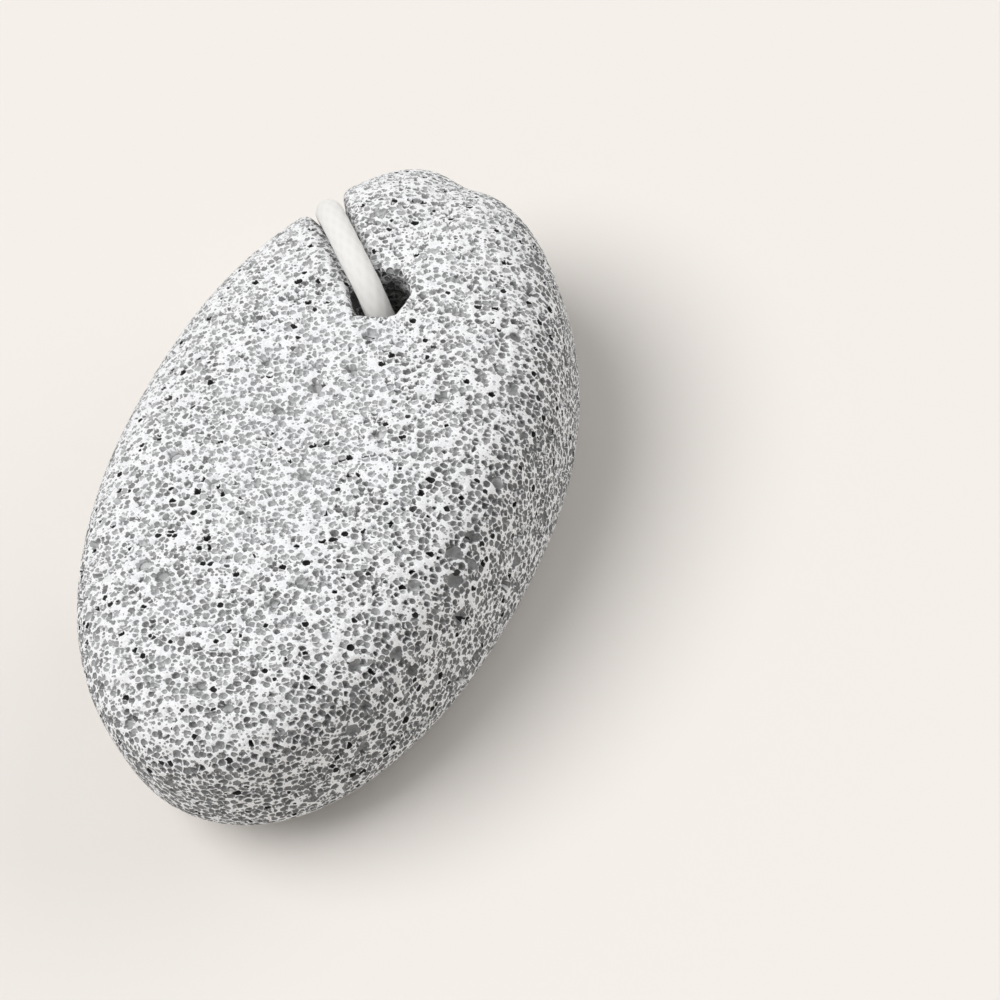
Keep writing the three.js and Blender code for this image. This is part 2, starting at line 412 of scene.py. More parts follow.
def bubble_cut(p, outward, bubbles):
    """How deep each surface point lies once the bubbles are cut open, by the way down a sphere:
    t = b + sqrt(b^2 + R^2 - d^2), where b is how far the centre lies below the surface."""
    ray = along_flow(outward)
    pace = np.linalg.norm(ray, axis=1)
    to_centre, noise, wall = cells_round(along_flow(p) / bubbles.cell, CELL_JITTER)
    radius = bubbles.smallest + (bubbles.largest - bubbles.smallest) * noise[:, 0]
    radius = np.where(noise[:, 1] < bubbles.share, radius, 0)
    below = -(to_centre * ray).sum(1) / pace
    away = (to_centre**2).sum(1)
    inside = radius**2 - away
    down = below + np.sqrt(np.maximum(below**2 + inside, 0))
    near_wall = smooth_step(bubbles.wall, bubbles.wall + 0.12, wall)
    cut = np.where(inside > 0, np.clip(down, 0, bubbles.deepest) * near_wall, 0)
    return cut * bubbles.cell / pace


def near_turn(turn, middle):
    """An angle, by whole turns as near as it can be to another."""
    return middle + (turn - middle + pi) % (2 * pi) - pi


def bake_map(corners, outward):
    """A flat place in a unit square for each face's corners, by the stone without its bubbles:
    the top and the underside as they lie, the rim unrolled in two strips, and the walls of the
    hole and the groove unrolled smaller, since they are hardly seen."""
    x, y, z = np.moveaxis(corners, -1, 0)
    middle = corners.mean(1)
    along = (x - GROOVE_START[0]) * -sin(GROOVE_TURN) + (y - GROOVE_START[1]) * cos(GROOVE_TURN)
    across = (x - GROOVE_START[0]) * cos(GROOVE_TURN) + (y - GROOVE_START[1]) * sin(GROOVE_TURN)
    facing = outward[:, 0] * cos(GROOVE_TURN) + outward[:, 1] * sin(GROOVE_TURN)
    steep = np.abs(outward[:, 2]) <= MAP_LEVEL
    sunk = pebble_field(middle) < -0.35 * MM
    bored = steep & (np.hypot(middle[:, 0] - HOLE[0], middle[:, 1] - HOLE[1]) < HOLE_RADIUS + 1.5 * MM)
    cut = sunk & ~bored & (np.abs(across.mean(1)) < GROOVE_WIDTH / 2 + 1 * MM) & (along.mean(1) > 0)
    rest = ~bored & ~cut
    turn = np.arctan2(y - HOLE[1], x - HOLE[0])
    round_hole = near_turn(turn, turn.mean(1)[:, None]) * HOLE_RADIUS
    plan = np.arctan2(y / HALF[1], x / HALF[0])
    centre = np.arctan2(middle[:, 1] / HALF[1], middle[:, 0] / HALF[0])
    bends = np.linspace(-2 * pi, 2 * pi, 2 * MAP_BENDS + 1)
    rim = np.stack([HALF[0] * np.cos(bends), HALF[1] * np.sin(bends)], -1)
    run = np.r_[0, np.cumsum(np.linalg.norm(np.diff(rim, axis=0), axis=1))]
    run -= run[MAP_BENDS]
    plan_run = np.interp(near_turn(plan, centre[:, None]), bends, run)
    centre_run = np.interp(centre, bends, run)
    band = rest & steep
    arc = np.arctan2(z - MIDDLE_Z, along) * GROOVE_INNER
    charts = [
        (rest & (outward[:, 2] > MAP_LEVEL), x, y, 1, (1, 1)),
        (rest & (outward[:, 2] < -MAP_LEVEL), x, y, 1, (54.5, 1)),
        (band & (centre_run >= MAP_SPLIT), plan_run, z, 1, (1, 94.5)),
        (band & (centre_run < MAP_SPLIT), z, plan_run, 1, (112, 1)),
        (bored, z, round_hole, 0.5, (1, 126)),
        (cut & (facing > 0.5), z, along, 0.5, (24, 126)),
        (cut & (facing < -0.5), z, along, 0.5, (47, 126)),
        (cut & (np.abs(facing) <= 0.5), arc, across, 0.5, (70, 126)),
    ]
    place = np.zeros(corners.shape[:2] + (2,))
    for chosen, u, v, size, corner in charts:
        flat = np.stack([u[chosen], v[chosen]], -1)
        flat = (flat - flat.min((0, 1))) * size
        place[chosen] = (flat + np.array(corner) * MM) / MAP_SIDE
    return place


# ---------------------------------------------------------------- shader groups


class Nodes:
    """Short ways to add and join nodes in one tree."""

    def __init__(self, tree):
        self.tree = tree

    def add(self, kind, **values):
        """A new node with its settings."""
        node = self.tree.nodes.new(kind)
        for name, value in values.items():
            setattr(node, name, value)
        return node

    def feed(self, socket, value):
        """Links another node's output to a socket, or sets the socket to a plain value."""
        if isinstance(value, bpy.types.NodeSocket):
            self.tree.links.new(value, socket)
        else:
            socket.default_value = value

    def math(self, operation, *values):
        """One sum, on numbers."""
        node = self.add("ShaderNodeMath", operation=operation)
        for socket, value in zip(node.inputs, values):
            self.feed(socket, value)
        return node.outputs[0]

    def vector(self, operation, *values):
        """One sum, on vectors."""
        node = self.add("ShaderNodeVectorMath", operation=operation)
        for socket, value in zip(node.inputs, values):
            self.feed(socket, value)
        return node.outputs[0]

    def ramp(self, value, low, high, to_low=0.0, to_high=1.0, smooth=True):
        """From to_low at low to to_high at high, by an S unless smooth is off."""
        node = self.add("ShaderNodeMapRange", interpolation_type="SMOOTHSTEP" if smooth else "LINEAR")
        for socket, given in zip(node.inputs, (value, low, high, to_low, to_high)):
            self.feed(socket, given)
        return node.outputs[0]

    def mix(self, share, a, b):
        """The colour that lies that share of the way from a to b."""
        node = self.add("ShaderNodeMix", data_type="RGBA")
        for name, value in (("Factor_Float", share), ("A_Color", a), ("B_Color", b)):
            self.feed(next(s for s in node.inputs if s.identifier == name), value)
        return next(s for s in node.outputs if s.identifier == "Result_Color")

    def noise(self, place, scale, detail=2.0):
        """Smooth noise, about 0.5."""
        node = self.add("ShaderNodeTexNoise")
        self.feed(node.inputs["Vector"], place)
        node.inputs["Scale"].default_value = scale
        node.inputs["Detail"].default_value = detail
        return node.outputs["Fac"]

    def group(self, tree, **values):
        """A shared group with its inputs fed; an underscore stands for a space in a name."""
        node = self.add("ShaderNodeGroup", node_tree=tree)
        for name, value in values.items():
            self.feed(node.inputs[name.replace("_", " ")], value)
        return node.outputs


def shared_group(name, make):
    """The shader group of that name, made once."""
    return bpy.data.node_groups.get(name) or make()


def new_group(name, inputs, outputs):
    """An empty shader group with its sockets, and its input and output nodes."""
    tree = bpy.data.node_groups.new(name, "ShaderNodeTree")
    for kind, socket in inputs:
        tree.interface.new_socket(socket, in_out="INPUT", socket_type="NodeSocket" + kind)
    for kind, socket in outputs:
        tree.interface.new_socket(socket, in_out="OUTPUT", socket_type="NodeSocket" + kind)
    nodes = Nodes(tree)
    start = nodes.add("NodeGroupInput").outputs
    end = nodes.add("NodeGroupOutput").inputs
    return tree, nodes, start, end


def flow_group():
    """The foam's own coordinates: turned to its flow and squeezed by its stretch."""
    tree, n, start, end = new_group("along flow", [("Vector", "Place")], [("Vector", "Place")])
    flow = n.add("ShaderNodeMapping", vector_type="TEXTURE")
    flow.inputs["Rotation"].default_value = (0, 0, FLOW_TURN)
    flow.inputs["Scale"].default_value = (FLOW_STRETCH, 1, RISE_STRETCH)
    n.feed(flow.inputs["Vector"], start["Place"])
    n.feed(end["Place"], flow.outputs[0])
    return tree


def cells_of(n, place, cell, feature):
    """A Voronoi texture whose cells are of the given size."""
    node = n.add("ShaderNodeTexVoronoi", voronoi_dimensions="3D", feature=feature)
    n.feed(node.inputs["Vector"], n.vector("DIVIDE", place, cell))
    node.inputs["Scale"].default_value = 1.0
    node.inputs["Randomness"].default_value = CELL_JITTER
    return node.outputs


def bubbles_group():
    """Open bubbles cut by a surface: how far inside one each point is, and the bubble's own tone."""
    tree, n, start, end = new_group(
        "open bubbles",
        [("Vector", "Place"), ("Float", "Cell"), ("Float", "Smallest"), ("Float", "Largest"),
         ("Float", "Share")],
        [("Float", "Inside"), ("Float", "Tone")],
    )
    near = cells_of(n, start["Place"], start["Cell"], "F1")
    noise = n.add("ShaderNodeSeparateColor")
    n.feed(noise.inputs[0], near["Color"])
    spread = n.math("SUBTRACT", start["Largest"], start["Smallest"])
    radius = n.math("MULTIPLY_ADD", spread, noise.outputs[0], start["Smallest"])
    there = n.math("LESS_THAN", noise.outputs[1], start["Share"])
    ball = n.math("SUBTRACT", n.math("MULTIPLY", radius, there), near["Distance"])
    n.feed(end["Inside"], n.math("MULTIPLY", ball, start["Cell"]))
    n.feed(end["Tone"], noise.outputs[2])
    return tree


def walls_group():
    """The thin walls between bubbles: how far each point is clear of one. Some walls are broken."""
    tree, n, start, end = new_group(
        "thin walls", [("Vector", "Place"), ("Float", "Cell"), ("Float", "Wall")], [("Float", "Clear")]
    )
    edge = cells_of(n, start["Place"], start["Cell"], "DISTANCE_TO_EDGE")
    place = n.vector("DIVIDE", start["Place"], start["Cell"])
    thick = n.ramp(n.noise(place, 0.9), 0.38, 0.6, -0.6, 1.8, smooth=False)
    clear = n.math("SUBTRACT", edge["Distance"], n.math("MULTIPLY", start["Wall"], thick))
    n.feed(end["Clear"], n.math("MULTIPLY", clear, start["Cell"]))
    return tree


def grain_group():
    """Fine unevenness of a given size."""
    tree, n, start, end = new_group(
        "fine grain", [("Vector", "Place"), ("Float", "Size")], [("Float", "Grain")]
    )
    n.feed(end["Grain"], n.noise(n.vector("DIVIDE", start["Place"], start["Size"]), 1.0, 3.0))
    return tree


def new_material(name):
    """A material with its Principled shader, and the means to add nodes to it."""
    material = bpy.data.materials.new(name)
    material.use_nodes = True
    return material, Nodes(material.node_tree), material.node_tree.nodes["Principled BSDF"]


def rock_material(settings):
    """Foamed rock: a pale worn skin between open bubbles coloured grey, some near black, partly their own
    tone and partly painted shade in the hollows; painted highlights line the bubbles' edges, and painted
    shade darkens the rim's bubbles and the hole and the groove deep inside.
    """
    material, n, shader = new_material("foamed rock")
    rest = n.add("ShaderNodeAttribute", attribute_name="rest_place").outputs["Vector"]
    place = n.group(shared_group("along flow", flow_group), Place=rest)["Place"]
    bubbles = shared_group("open bubbles", bubbles_group)
    common, big, small = (
        n.group(bubbles, Place=place, Cell=size.cell, Smallest=size.smallest, Largest=size.largest,
                Share=size.share)
        for size in (settings.common, settings.big, settings.small)
    )
    walls = n.group(shared_group("thin walls", walls_group), Place=place, Cell=settings.common.cell,
                    Wall=settings.common.wall)
    wobble = n.group(shared_group("fine grain", grain_group), Place=rest, Size=RAGGED_SIZE)
    ragged = n.math("MULTIPLY", n.math("SUBTRACT", wobble["Grain"], 0.5), RAGGED)
    facing = n.add("ShaderNodeAttribute", attribute_name="rest_facing").outputs["Fac"]
    # How level the surface is: bubbles on the top are paler and bubbles on the rim darker as painted shade,
    # since the rim faces away from the key light; the rim's bubbles also open a little wider.
    lit_and_rubbed = n.ramp(facing, 0.3, 0.9)
    wider = n.math("MULTIPLY_ADD", lit_and_rubbed, -UNRUBBED_WIDER, UNRUBBED_WIDER)
    open_common = n.math("MINIMUM", n.math("ADD", common["Inside"], wider), walls["Clear"])
    deepest = n.math("MAXIMUM", open_common, big["Inside"])
    deepest = n.math("ADD", deepest, ragged)
    little = n.math("ADD", small["Inside"], n.math("MULTIPLY", ragged, 0.5))
    open_main = n.ramp(deepest, 0.0, RIM_SOFT)
    open_small = n.ramp(little, 0.0, RIM_SOFT)
    # The bubbles' greys vary with their own random tone, and are darker than the skin partly as painted
    # shade in the hollows; the darkest share is near black, painted shade of deep bubbles.
    tone = common["Tone"]
    dark = n.ramp(tone, 1 - settings.dark_share, 1 - settings.dark_share * 0.7)
    pale = n.mix(lit_and_rubbed, (*settings.pit_shaded_side, 1), (*settings.pit_light, 1))
    grey = n.mix(n.math("POWER", tone, 1.5), pale, (*settings.pit_grey, 1))
    grey = n.mix(dark, grey, (*settings.pit_dark, 1))
    # Painted shade: each bubble is darkened a quarter of the way to pit dark near its wall, where the wall
    # would shade it.
    rim = n.ramp(deepest, 0.03 * MM, 0.2 * MM)
    grey = n.mix(n.math("MULTIPLY_ADD", rim, -0.25, 0.25), grey, (*settings.pit_dark, 1))
    little_grey = n.mix(small["Tone"], pale, (*settings.pit_grey, 1))
    # Painted highlight: the skin is brightest along the bubbles' edges and duller away from them; random
    # spots dull it too.
    edge = n.ramp(n.math("MAXIMUM", deepest, little), -0.24 * MM, -0.04 * MM)
    spot = n.ramp(wobble["Grain"], 0.35, 0.6, 0.5, 1.0)
    rim_highlight_and_spot = n.math("MULTIPLY", n.math("MULTIPLY_ADD", edge, 0.5, 0.5), spot)
    skin = n.mix(rim_highlight_and_spot, (*settings.skin_shade, 1), (*settings.skin, 1))
    colour = n.mix(open_small, skin, little_grey)
    colour = n.mix(open_main, colour, grey)
    # Painted shade: deep in the hole and the groove the colour is darkened towards the recess shade colour,
    # more the deeper it lies.
    inner = n.add("ShaderNodeAttribute", attribute_name="rest_inner").outputs["Fac"]
    colour = n.mix(n.math("MULTIPLY", inner, 0.6), colour, (*settings.recess_shade, 1))
    n.feed(shader.inputs["Base Color"], colour)
    bowl = n.math("MULTIPLY", n.ramp(deepest, -0.02 * MM, 0.26 * MM), -BOWL_DEPTH)
    dimple = n.math("MULTIPLY", n.ramp(little, -0.02 * MM, 0.16 * MM), -DIMPLE_DEPTH)
    hollow = n.math("MINIMUM", bowl, dimple)
    height = n.math("ADD", hollow, n.math("MULTIPLY", wobble["Grain"], GRAIN_HEIGHT))
    bump = n.add("ShaderNodeBump")
    bump.inputs["Strength"].default_value = 1.0
    bump.inputs["Distance"].default_value = 1.0
    n.feed(bump.inputs["Height"], height)
    n.feed(shader.inputs["Normal"], bump.outputs["Normal"])
    shader.inputs["Roughness"].default_value = 0.95
    shader.inputs["Specular IOR Level"].default_value = 0.2
    return material


def cotton_material(settings):
    """Soft plaited cotton: two sets of strands that cross, a little fuzz and a warm off-white."""
    material, n, shader = new_material("cotton cord")
    uv = n.add("ShaderNodeUVMap", uv_map="along").outputs[0]
    split = n.add("ShaderNodeSeparateXYZ")
    n.feed(split.inputs[0], uv)
    about, along = split.outputs[0], split.outputs[1]
    waves = []
    for way in (1, -1):
        run = n.math("MULTIPLY", along, 2 * pi / PLAIT_PITCH)
        waves.append(n.math("SINE", n.math("MULTIPLY_ADD", about, way * PLAIT_STRANDS * 2 * pi, run)))
    plait = n.math("MULTIPLY", n.math("ADD", waves[0], waves[1]), 0.5)
    place = n.add("ShaderNodeTexCoord").outputs["Object"]
    fuzz = n.group(shared_group("fine grain", grain_group), Place=place, Size=0.3 * MM)
    # The plait is a little darker between the strands: painted shade in the creases.
    colour = n.mix(n.ramp(plait, -1.0, 0.3), (*settings.cotton_shade, 1), (*settings.cotton, 1))
    n.feed(shader.inputs["Base Color"], colour)
    fluff = n.math("MULTIPLY", fuzz["Grain"], 0.04 * MM)
    height = n.math("MULTIPLY_ADD", plait, 0.03 * MM, fluff)
    bump = n.add("ShaderNodeBump")
    bump.inputs["Strength"].default_value = 0.5
    bump.inputs["Distance"].default_value = 1.0
    n.feed(bump.inputs["Height"], height)
    n.feed(shader.inputs["Normal"], bump.outputs["Normal"])
    shader.inputs["Roughness"].default_value = 0.85
    shader.inputs["Sheen Weight"].default_value = 0.25
    shader.inputs["Specular IOR Level"].default_value = 0.25
    return material


# ---------------------------------------------------------------- the cord


def smooth_path(points, step):
    """Points evenly spaced on a centripetal Catmull-Rom curve through the given ones."""
    ends = np.vstack([2 * points[0] - points[1], points, 2 * points[-1] - points[-2]])
    gap = np.linalg.norm(np.diff(ends, axis=0), axis=1) ** 0.5
    t = np.linspace(0, 1, 40, endpoint=False)[None, :, None]
    before, here, there, after = (ends[k : len(ends) - 3 + k, None] for k in range(4))
    g0, g1, g2 = (gap[k : len(gap) - 2 + k, None, None] for k in range(3))
    m1 = ((here - before) / g0 - (there - before) / (g0 + g1) + (there - here) / g1) * g1
    m2 = ((there - here) / g1 - (after - here) / (g1 + g2) + (after - there) / g2) * g1
    curve = here + m1 * t + (3 * (there - here) - 2 * m1 - m2) * t**2
    curve = curve + (2 * (here - there) + m1 + m2) * t**3
    line = np.vstack([curve.reshape(-1, 3), points[-1:]])
    run = np.r_[0, np.cumsum(np.linalg.norm(np.diff(line, axis=0), axis=1))]
    even = np.linspace(0, run[-1], int(round(run[-1] / step)) + 1)
    return np.stack([np.interp(even, run, line[:, k]) for k in range(3)], -1), even


def carried_frames(path):
    """Two directions across the path at each of its points, carried along without twist."""
    ahead = unit(np.gradient(path, axis=0))
    side = np.empty_like(path)
    side[0] = unit(np.cross(ahead[0], (0.3, 0.2, 0.93)))
    for i in range(1, len(path)):
        side[i] = unit(side[i - 1] - ahead[i] * (side[i - 1] @ ahead[i]))
    return side, np.cross(ahead, side)


def cord_mesh(name, path, even, radius):
    """A tube: for each place along and each turn round, path + r (side cos + up sin), where r
    swells a little over each plaited strand and closes to a dome at both ends."""
    sides = CORD_SIDES
    side, up = carried_frames(path)
    turn = np.linspace(0, 2 * pi, sides, endpoint=False)
    strands, run = PLAIT_STRANDS * turn[None], even[:, None] * 2 * pi / PLAIT_PITCH
    plait = np.sin(run + strands) + np.sin(run - strands)
    reach = np.full(len(path), radius)
    for from_end in (even, even[-1] - even):
        dome = np.clip(from_end / (DOME_LENGTH * radius), 0, 1)
        reach = reach * np.sqrt(np.maximum(1 - (1 - dome) ** 2, 0.0))
    r = (reach[:, None] * (1 + PLAIT_SWELL * plait))[..., None]
    cosine, sine = np.cos(turn)[None, :, None], np.sin(turn)[None, :, None]
    ring = path[:, None] + r * (side[:, None] * cosine + up[:, None] * sine)
    points = ring.reshape(-1, 3)
    i, j = np.meshgrid(np.arange(len(path) - 1), np.arange(sides), indexing="ij")
    k = (j + 1) % sides
    here, there = i * sides, (i + 1) * sides
    quads = np.stack([here + j, here + k, there + k, there + j], -1).reshape(-1, 4)
    mesh = mesh_from(name, points, quads)
    layer = mesh.uv_layers.new(name="along")
    u = np.stack([j, j + 1, j + 1, j], -1).reshape(-1) / sides
    v = even[np.stack([i, i, i + 1, i + 1], -1).reshape(-1)]
    layer.data.foreach_set("uv", np.stack([u, v], -1).astype(np.float32).ravel())
    return mesh


# ---------------------------------------------------------------- settings


class BubbleSize(bpy.types.PropertyGroup):
    """One size of bubble in the foam."""

    cell: bpy.props.FloatProperty(name="Cell", description="Mean distance between bubbles",
                                  default=0.8 * MM, unit="LENGTH", precision=5)
    smallest: bpy.props.FloatProperty(name="Smallest", description="Least radius, in cells",
                                      default=0.4, subtype="FACTOR", min=0, max=1)
    largest: bpy.props.FloatProperty(name="Largest", description="Greatest radius, in cells",
                                     default=0.68, subtype="FACTOR", min=0, max=1)
    wall: bpy.props.FloatProperty(name="Wall", description="Half the least wall, in cells",
                                  default=0.05, subtype="FACTOR", min=0, max=1)
    share: bpy.props.FloatProperty(name="Share", description="Share of cells that hold a bubble",
                                   default=1.0, subtype="FACTOR", min=0, max=1)
    deepest: bpy.props.FloatProperty(name="Deepest", description="Greatest depth, in cells",
                                     default=0.8, subtype="FACTOR", min=0, max=2)


class StoneSettings(bpy.types.PropertyGroup):
    """The stone's foam and its colours."""

    common: bpy.props.PointerProperty(type=BubbleSize)
    big: bpy.props.PointerProperty(type=BubbleSize)
    small: bpy.props.PointerProperty(type=BubbleSize)
    skin: bpy.props.FloatVectorProperty(name="Skin", description="Rubbed skin between the bubbles",
                                        default=(0.97, 0.975, 0.985), subtype="COLOR", min=0, max=1)
    # Skin shade: the duller skin away from the painted highlight on the bubbles' edges, and in random spots.
    skin_shade: bpy.props.FloatVectorProperty(name="Skin shade", description="Skin where it is duller",
                                              default=(0.74, 0.745, 0.755), subtype="COLOR", min=0, max=1)
    # Pit light and pit grey: partly the bubbles' own tone, partly painted shade inside them.
    pit_light: bpy.props.FloatVectorProperty(name="Pit light", description="Shallow bubbles",
                                             default=(0.66, 0.665, 0.67), subtype="COLOR", min=0, max=1)
    # Pit side: bubbles on the rim, darker as painted shade because the rim faces away from the key light.
    pit_shaded_side: bpy.props.FloatVectorProperty(name="Pit side", description="Shallow bubbles on the rim",
                                            default=(0.33, 0.333, 0.337), subtype="COLOR", min=0, max=1)
    pit_grey: bpy.props.FloatVectorProperty(name="Pit grey", description="Common bubbles",
                                            default=(0.26, 0.26, 0.26), subtype="COLOR", min=0, max=1)
    # Pit dark: near black, painted shade of deep bubbles and of each bubble's edge.
    pit_dark: bpy.props.FloatVectorProperty(name="Pit dark", description="Deep bubbles",
                                            default=(0.03, 0.03, 0.03), subtype="COLOR", min=0, max=1)
    # Recess shade: painted shade deep in the hole and the groove.
    recess_shade: bpy.props.FloatVectorProperty(name="Recess_shade", description="Deep in the hole and the groove",
                                        default=(0.16, 0.15, 0.14), subtype="COLOR", min=0, max=1)
    dark_share: bpy.props.FloatProperty(name="Dark share", description="Share of bubbles that look black",
                                        default=0.06, subtype="FACTOR", min=0, max=1)


class CordSettings(bpy.types.PropertyGroup):
    """The cord's size and colours."""

    diameter: bpy.props.FloatProperty(name="Diameter", description="Across the cord",
                                      default=CORD_DIAMETER, unit="LENGTH", precision=4)
    cotton: bpy.props.FloatVectorProperty(name="Cotton", description="The strands' crowns",
                                          default=(0.82, 0.81, 0.785), subtype="COLOR", min=0, max=1)
    # Cotton shade: painted shade between the strands.
    cotton_shade: bpy.props.FloatVectorProperty(name="Cotton shade", description="Between the strands",
                                                default=(0.79, 0.775, 0.745), subtype="COLOR", min=0, max=1)


class StageSettings(bpy.types.PropertyGroup):
    """The floor and the lights."""

    floor: bpy.props.FloatVectorProperty(name="Floor", description="Plain pale floor",
                                         default=(0.817, 0.779, 0.736), subtype="COLOR", min=0, max=1)
    key: bpy.props.FloatProperty(name="Key light", description="Strength of the soft key light",
                                 default=2.15, min=0)
    side: bpy.props.FloatProperty(name="Side light", description="Strength of the soft light from the side",
                                  default=0.8, min=0)
    fill: bpy.props.FloatProperty(name="Fill light", description="Strength of the light all round",
                                  default=0.38, min=0)


# ---------------------------------------------------------------- operators


class PUMICE_OT_view(bpy.types.Operator):
    """Sets up the camera, looking down on the stone along its groove's side"""

    bl_idname = "pumice.view"
    bl_label = "Add Camera"

    def execute(self, context):
        if context.scene.camera:
            raise RuntimeError("the scene has a camera already")
        a, e = VIEW_AZIMUTH, VIEW_ELEVATION
        back = Vector((sin(a) * cos(e), -cos(a) * cos(e), sin(e)))
        level = Vector((cos(a), sin(a), 0))
        turned = Matrix.Rotation(-VIEW_ROLL, 3, back)
        right = turned @ level
        up = back.cross(right)
        place = Matrix((right, up, back)).transposed().to_4x4()
        middle = Vector((0, 0, MIDDLE_Z))
        place.translation = (
            middle + back * VIEW_DISTANCE + right * STONE_LEFT_OF_VIEW - up * STONE_ABOVE_VIEW
        )
        camera = bpy.data.objects.new("camera", bpy.data.cameras.new("camera"))
        camera.data.lens = VIEW_LENS
        camera.data.sensor_width = 36.0
        camera.data.clip_start, camera.data.clip_end = 0.01, 20.0
        camera.matrix_world = place
        context.scene.collection.objects.link(camera)
        context.scene.camera = camera
        return {"FINISHED"}


class PUMICE_OT_stage(bpy.types.Operator):
    """Adds the plain pale floor and the soft studio light"""

    bl_idname = "pumice.stage"
    bl_label = "Add Floor and Lights"

    def execute(self, context):
        scene = context.scene
        settings = scene.pumice_stage
        if scene.world and scene.world.name == "studio":
            raise RuntimeError("the floor and lights are there already")
        scene.view_settings.view_transform = "Standard"
        corners = np.array([(-1, -1, 0), (1, -1, 0), (1, 1, 0), (-1, 1, 0)]) * FLOOR_HALF
        mesh = mesh_from("floor", corners, np.array([[0, 1, 2, 3]]), smooth=False)
        material, n, shader = new_material("floor paint")
        n.feed(shader.inputs["Base Color"], (*settings.floor, 1))
        shader.inputs["Roughness"].default_value = 0.9
        shader.inputs["Specular IOR Level"].default_value = 0.1
        mesh.materials.append(material)
        floor = bpy.data.objects.new("floor", mesh)
        scene.collection.objects.link(floor)
        for name, strength, angle, toward in (
            ("key light", settings.key, KEY_ANGLE, KEY_FROM),
            ("side light", settings.side, SIDE_ANGLE, SIDE_FROM),
        ):
            sun = bpy.data.lights.new(name, "SUN")
            sun.energy = strength
            sun.angle = angle
            light = bpy.data.objects.new(name, sun)
            light.rotation_mode = "QUATERNION"
            light.rotation_quaternion = toward.to_track_quat("Z", "Y")
            scene.collection.objects.link(light)
        world = bpy.data.worlds.new("studio")
        world.use_nodes = True
        world.node_tree.nodes["Background"].inputs["Color"].default_value = (1, 1, 1, 1)
        world.node_tree.nodes["Background"].inputs["Strength"].default_value = settings.fill
        scene.world = world
        return {"FINISHED"}


class PUMICE_OT_cord(bpy.types.Operator):
    """Adds the cotton cord along its route and its knot"""

    bl_idname = "pumice.cord"
    bl_label = "Add Cord and Knot"

    def execute(self, context):
        settings = context.scene.pumice_cord
        material = cotton_material(settings)
        path, even = smooth_path(CORD_ROUTE, CORD_STEP)
        if path[:, 2].min() < 0:
            raise RuntimeError("the cord's route goes under the floor")
        radius = settings.diameter / 2
        cord = link_object("cotton_cord", cord_mesh("cotton_cord", path, even, radius), material)
        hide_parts("cord")
        knot = link_object("overhand_knot", self.knot(radius), material)
        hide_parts("cord_knot")
        return {"FINISHED"}

    def knot(self, radius):
        """Two strands come in; one runs straight through and the other winds round both in a
        helix about the knot's middle line, and each ends in a short tail on the floor."""
        x, z = (KNOT_LOW.x + KNOT_HIGH.x) / 2, (KNOT_LOW.z + KNOT_HIGH.z) / 2
        turn = np.arange(0, KNOT_TURNS * 2 * pi, 0.35)
        run = np.linspace(KNOT_HIGH.y - KNOT_END, KNOT_LOW.y + KNOT_END, len(turn))
        across, up = KNOT_WRAP_RADIUS * np.cos(turn), KNOT_WRAP_RADIUS * np.sin(turn)
        wraps = np.stack([x + across, run, z + up], -1)
        leave = np.array([(-31.5, -12, 5.0), (-31.3, -14, 5.0), (-32.6, -17.5, 4.0), (-33.6, -22, 2.3)]) * MM
        straight = np.array([(-28.98, -1.8, 4.12), (-29.1, -3.5, 4.3), (-30.4, -7, 4.9), (-30.6, -12, 4.9),
                             (-29.6, -17, 4.0), (-28.6, -21, 2.2)]) * MM
        enter = np.array([(-33.08, -1.8, 4.12), (-33.2, -3.5, 4.3), (-32.2, -6.5, 4.8),
                          (-31.6, -9.5, 5.0)]) * MM
        strands = []
        for name, points in (("wraps", np.vstack([wraps, leave])), ("core", straight), ("entry", enter)):
            path, even = smooth_path(points, CORD_STEP)
            strands.append(cord_mesh(name, path, even, KNOT_STRAND * radius))
        return joined_mesh("overhand_knot", strands)


def joined_mesh(name, meshes):
    """One mesh of several quad meshes that carry the map named along."""
    points, quads, maps, first = [], [], [], 0
    for mesh in meshes:
        co = np.empty(len(mesh.vertices) * 3, np.float32)
        mesh.vertices.foreach_get("co", co)
        index = np.empty(len(mesh.loops), np.int32)
        mesh.loops.foreach_get("vertex_index", index)
        uv = np.empty(len(mesh.loops) * 2, np.float32)
        mesh.uv_layers["along"].data.foreach_get("uv", uv)
        points.append(co.reshape(-1, 3))
        quads.append(index.reshape(-1, 4) + first)
        maps.append(uv)
        first += len(mesh.vertices)
        bpy.data.meshes.remove(mesh)
    whole = mesh_from(name, np.vstack(points), np.vstack(quads))
    whole.uv_layers.new(name="along").data.foreach_set("uv", np.concatenate(maps))
    return whole


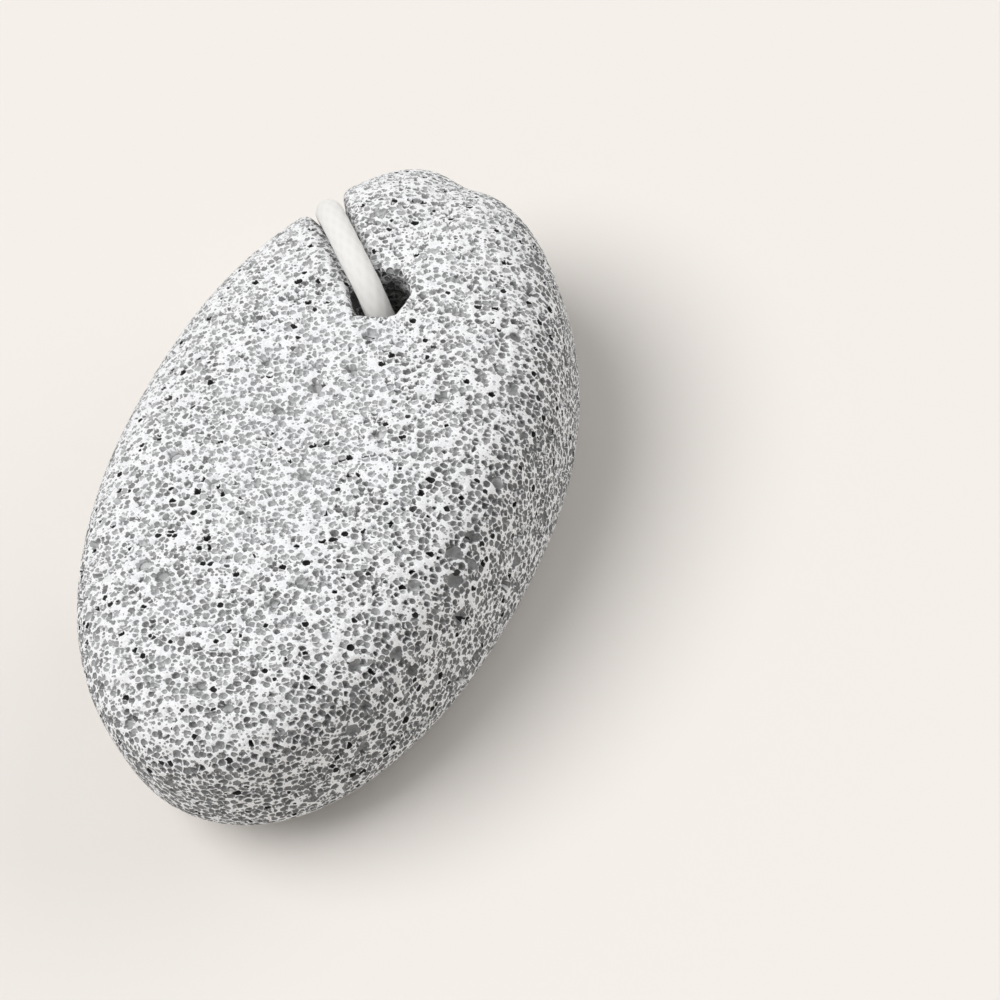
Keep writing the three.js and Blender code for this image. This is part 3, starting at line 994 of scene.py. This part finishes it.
class PUMICE_OT_stone(bpy.types.Operator):
    """Adds the stone with its bubbles cut open all over"""

    bl_idname = "pumice.stone"
    bl_label = "Add Stone"

    def execute(self, context):
        settings = context.scene.pumice_stone
        margin = 2.5 * VOXEL
        low = np.array([-HALF[0], -HALF[1], 0]) * 1.06 - margin
        high = np.array([HALF[0], HALF[1], HIGH.z]) * 1.06 + margin
        points, quads = surface_net(stone_field, low, high, VOXEL)
        for _ in range(HALVINGS):
            points, quads = halve(settle(stone_field, points), quads)
        base = settle(stone_field, points)
        outward = unit(slope_of(stone_field, base))
        depth = bubble_cut(base, outward, settings.common)
        depth = np.maximum(depth, bubble_cut(base, outward, settings.big))
        fine_mesh = mesh_from("fine stone", base - outward * depth[:, None], quads)
        fine = bpy.data.objects.new("fine stone", fine_mesh)
        context.scene.collection.objects.link(fine)
        thin = fine.modifiers.new("thin", "DECIMATE")
        thin.ratio = STONE_TRIANGLES / (2 * len(quads))
        thin.use_collapse_triangulate = True
        mesh = bpy.data.meshes.new_from_object(fine.evaluated_get(context.evaluated_depsgraph_get()))
        bpy.data.objects.remove(fine)
        if not mesh.polygons or len(mesh.polygons) > 1.02 * STONE_TRIANGLES:
            raise RuntimeError("the stone's mesh came out empty or too fine")
        mesh.name = "pumice_rock"
        place = np.empty(len(mesh.vertices) * 3, np.float32)
        mesh.vertices.foreach_get("co", place)
        base = settle(stone_field, place.reshape(-1, 3).astype(float), 4)
        mesh.attributes.new("rest_place", "FLOAT_VECTOR", "POINT").data.foreach_set(
            "vector", base.astype(np.float32).ravel()
        )
        facing = unit(slope_of(stone_field, base))
        # How deep a point lies inside the plain pebble, which sets the painted shade in the hole and the
        # groove.
        sunk = smooth_step(1 * MM, 9 * MM, -pebble_field(base))
        for name, value in (("rest_facing", np.abs(facing[:, 2])), ("rest_inner", sunk)):
            mesh.attributes.new(name, "FLOAT", "POINT").data.foreach_set("value", value.astype(np.float32))
        index = np.empty(len(mesh.loops), np.int32)
        mesh.loops.foreach_get("vertex_index", index)
        faces = index.reshape(-1, 3)
        flat = bake_map(base[faces], unit(facing[faces].mean(1)))
        mesh.uv_layers.new(name="OFBake").data.foreach_set("uv", flat.astype(np.float32).ravel())
        stone = link_object("pumice_rock", mesh, rock_material(settings))
        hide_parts("stone")
        return {"FINISHED"}


class PUMICE_PT_panel(bpy.types.Panel):
    """Lists the pieces in the 3D view's sidebar"""

    bl_label = "Pumice Stone"
    bl_idname = "PUMICE_PT_panel"
    bl_space_type = "VIEW_3D"
    bl_region_type = "UI"
    bl_category = "Pumice"

    def draw(self, context):
        for operator in (PUMICE_OT_view, PUMICE_OT_cord, PUMICE_OT_stone, PUMICE_OT_stage):
            self.layout.operator(operator.bl_idname)


CLASSES = (
    BubbleSize, StoneSettings, CordSettings, StageSettings,
    PUMICE_OT_view, PUMICE_OT_stage, PUMICE_OT_cord, PUMICE_OT_stone, PUMICE_PT_panel,
)
SETTINGS = {"pumice_stone": StoneSettings, "pumice_cord": CordSettings, "pumice_stage": StageSettings}


def register():
    """Adds the classes and the scene's settings."""
    for one in CLASSES:
        bpy.utils.register_class(one)
    for name, group in SETTINGS.items():
        setattr(bpy.types.Scene, name, bpy.props.PointerProperty(type=group))


def unregister():
    """Takes them away again."""
    for name in SETTINGS:
        delattr(bpy.types.Scene, name)
    for one in reversed(CLASSES):
        bpy.utils.unregister_class(one)


def set_bubbles(settings):
    """The big and the small bubbles differ from the common ones."""
    for name, value in dict(cell=2.6 * MM, smallest=0.24, largest=0.38, share=0.2, deepest=0.3).items():
        setattr(settings.big, name, value)
    for name, value in dict(cell=0.46 * MM, smallest=0.26, largest=0.52, wall=0.08, share=0.85).items():
        setattr(settings.small, name, value)


def main():
    register()
    set_bubbles(bpy.context.scene.pumice_stone)
    bpy.ops.pumice.view()
    bpy.ops.pumice.cord()
    bpy.ops.pumice.stone()
    bpy.ops.pumice.stage()


if __name__ == "__main__":
    main()
